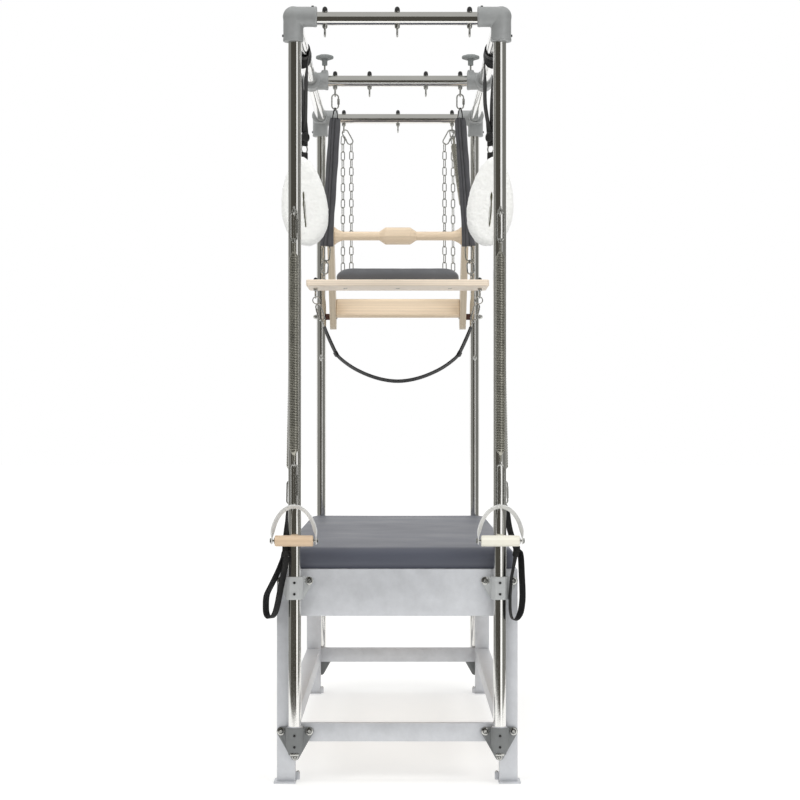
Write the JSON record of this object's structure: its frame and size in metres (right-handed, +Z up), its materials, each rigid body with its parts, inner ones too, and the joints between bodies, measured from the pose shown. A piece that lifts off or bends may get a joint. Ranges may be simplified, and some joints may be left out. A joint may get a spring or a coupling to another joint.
{
  "type": "pilates trapeze table",
  "caption": "Raised padded table under a tube canopy, with a sliding swing seat, a leaning wooden push bar, hanging springs with handles and loops, chains and fleece cuffs.",
  "frame": {"origin": "on the floor, under the middle of the table's overall outline", "axes": "+Z up, +X across the table to the right seen from the spring end, +Y along the table from the spring end to the push bar end"},
  "size_m": [0.7579, 2.2405, 2.315],
  "materials": {
    "frame_aluminium": "brushed square tube",
    "board_plywood": "plywood with a clear coat",
    "mattress_vinyl": "grey vinyl, soft sheen",
    "cast_aluminium": "cast, slightly rough",
    "tube_steel": "bright drawn tube",
    "knob_plastic": "dark moulded",
    "seat_vinyl": "dark grey vinyl",
    "sleeve_fabric": "padded cloth sleeve",
    "black_webbing": "woven webbing",
    "arm_wood": "hardwood, satin lacquer",
    "spring_steel": "wound steel wire",
    "bright_steel": "bright plated wire and band",
    "grip_wood": "turned hardwood",
    "sheepskin": "white fleece"
  },
  "bodies": {
    "frame": {"end_frame_near": "frame_aluminium", "end_frame_far": "frame_aluminium", "side_rail_left": "frame_aluminium", "side_rail_right": "frame_aluminium", "side_stretcher_left": "frame_aluminium", "side_stretcher_right": "frame_aluminium", "deck_board": "board_plywood", "mattress": "mattress_vinyl", "upper_bracket_near_left": "cast_aluminium", "upper_bracket_near_right": "cast_aluminium", "upper_bracket_far_left": "cast_aluminium", "upper_bracket_far_right": "cast_aluminium", "lower_bracket_near_left": "cast_aluminium", "lower_bracket_near_right": "cast_aluminium", "lower_bracket_far_left": "cast_aluminium", "lower_bracket_far_right": "cast_aluminium", "corner_fitting_near_left": "cast_aluminium", "corner_fitting_near_right": "cast_aluminium", "corner_fitting_far_left": "cast_aluminium", "corner_fitting_far_right": "cast_aluminium", "post_near_left": "tube_steel", "post_near_right": "tube_steel", "post_far_left": "tube_steel", "post_far_right": "tube_steel", "top_rail_left": "tube_steel", "top_rail_right": "tube_steel", "top_rail_near": "tube_steel", "top_rail_far": "tube_steel", "push_bar_spring": "spring_steel"},
    "slider": {"slider_crossbar": "tube_steel", "slider_clamp_left": "cast_aluminium", "slider_clamp_right": "cast_aluminium"},
    "knob_left": {"clamp_knob_left": "knob_plastic"},
    "knob_right": {"clamp_knob_right": "knob_plastic"},
    "swing": {"swing_board": "board_plywood", "swing_pad": "seat_vinyl", "swing_hanger_left": "sleeve_fabric", "swing_hanger_right": "sleeve_fabric"},
    "seat_strap": {"swing_strap": "black_webbing"},
    "push_bar": {"push_bar_arm_left": "arm_wood", "push_bar_arm_right": "arm_wood", "push_bar_handle": "arm_wood", "push_bar_shelf": "arm_wood", "push_bar_hook": "bright_steel"},
    "chain_left": {"chain_left": "bright_steel"},
    "arm_spring_left": {"arm_spring_left": "spring_steel"},
    "handle_left": {"handle_bow_left": "bright_steel"},
    "grip_left": {"handle_grip_left": "grip_wood"},
    "leg_spring_left": {"leg_spring_left": "spring_steel"},
    "foot_loop_left": {"foot_loop_left": "black_webbing"},
    "cuff_left": {"cuff_left": "sheepskin"},
    "chain_right": {"chain_right": "bright_steel"},
    "arm_spring_right": {"arm_spring_right": "spring_steel"},
    "handle_right": {"handle_bow_right": "bright_steel"},
    "grip_right": {"handle_grip_right": "grip_wood"},
    "leg_spring_right": {"leg_spring_right": "spring_steel"},
    "foot_loop_right": {"foot_loop_right": "black_webbing"},
    "cuff_right": {"cuff_right": "sheepskin"}
  },
  "joints": [
    {"name": "slider_slide", "type": "slide", "parent": "frame", "child": "slider", "axis": [0, 1, 0], "range_m": [-0.45, 0.45]},
    {"name": "knob_left_turn", "type": "hinge", "parent": "slider", "child": "knob_left", "pos_m": [-0.2515, 0.131, 2.224], "axis": [0, 0, 1], "range_deg": [0, 720]},
    {"name": "knob_right_turn", "type": "hinge", "parent": "slider", "child": "knob_right", "pos_m": [0.2515, 0.131, 2.224], "axis": [0, 0, 1], "range_deg": [0, 720]},
    {"name": "swing_pivot", "type": "hinge", "parent": "slider", "child": "swing", "pos_m": [0, 0.131, 2.18245], "axis": [1, 0, 0], "range_deg": [-30, 30]},
    {"name": "seat_strap_pivot", "type": "hinge", "parent": "swing", "child": "seat_strap", "pos_m": [0, 0.131, 1.4875], "axis": [1, 0, 0], "range_deg": [-60, 60]},
    {"name": "push_bar_pivot", "type": "hinge", "parent": "frame", "child": "push_bar", "pos_m": [0, 1.081, 1.455], "axis": [1, 0, 0], "range_deg": [-20, 70], "stiffness_Nm_per_rad": 12, "springref_deg": -20.05, "deforming": ["push_bar_spring"]},
    {"name": "chain_left_swing", "type": "hinge", "parent": "frame", "child": "chain_left", "pos_m": [-0.21, 1.081, 2.18245], "axis": [1, 0, 0], "range_deg": [-25, 30]},
    {"name": "arm_spring_left_swing", "type": "hinge", "parent": "frame", "child": "arm_spring_left", "pos_m": [-0.2975, -1.09455, 1.662], "axis": [1, 0, 0], "range_deg": [-80, 0]},
    {"name": "handle_left_pull", "type": "slide", "parent": "arm_spring_left", "child": "handle_left", "axis": [0, 0, -1], "range_m": [0, 0.6], "stiffness_N_per_m": 250, "springref_m": -0.012, "deforming": ["arm_spring_left"]},
    {"name": "grip_left_spin", "type": "hinge", "parent": "handle_left", "child": "grip_left", "pos_m": [-0.2975, -1.09455, 0.71], "axis": [1, 0, 0], "continuous": true},
    {"name": "leg_spring_left_swing", "type": "hinge", "parent": "frame", "child": "leg_spring_left", "pos_m": [-0.2975, -1.00745, 1.612], "axis": [0, 1, 0], "range_deg": [0, 70]},
    {"name": "foot_loop_left_pull", "type": "slide", "parent": "leg_spring_left", "child": "foot_loop_left", "axis": [-0.8, 0, -0.6], "range_m": [0, 0.6], "stiffness_N_per_m": 250, "springref_m": -0.006, "deforming": ["leg_spring_left"]},
    {"name": "cuff_left_swing", "type": "hinge", "parent": "frame", "child": "cuff_left", "pos_m": [-0.2975, -0.419, 2.224], "axis": [0, 1, 0], "range_deg": [-40, 60]},
    {"name": "chain_right_swing", "type": "hinge", "parent": "frame", "child": "chain_right", "pos_m": [0.21, 1.081, 2.18245], "axis": [1, 0, 0], "range_deg": [-25, 30]},
    {"name": "arm_spring_right_swing", "type": "hinge", "parent": "frame", "child": "arm_spring_right", "pos_m": [0.2975, -1.09455, 1.662], "axis": [1, 0, 0], "range_deg": [-80, 0]},
    {"name": "handle_right_pull", "type": "slide", "parent": "arm_spring_right", "child": "handle_right", "axis": [0, 0, -1], "range_m": [0, 0.6], "stiffness_N_per_m": 250, "springref_m": -0.012, "deforming": ["arm_spring_right"]},
    {"name": "grip_right_spin", "type": "hinge", "parent": "handle_right", "child": "grip_right", "pos_m": [0.2975, -1.09455, 0.71], "axis": [1, 0, 0], "continuous": true},
    {"name": "leg_spring_right_swing", "type": "hinge", "parent": "frame", "child": "leg_spring_right", "pos_m": [0.2975, -1.00745, 1.612], "axis": [0, 1, 0], "range_deg": [-70, 0]},
    {"name": "foot_loop_right_pull", "type": "slide", "parent": "leg_spring_right", "child": "foot_loop_right", "axis": [0.8, 0, -0.6], "range_m": [0, 0.6], "stiffness_N_per_m": 250, "springref_m": -0.006, "deforming": ["leg_spring_right"]},
    {"name": "cuff_right_swing", "type": "hinge", "parent": "frame", "child": "cuff_right", "pos_m": [0.2975, -0.419, 2.224], "axis": [0, 1, 0], "range_deg": [-60, 40]}
  ]
}
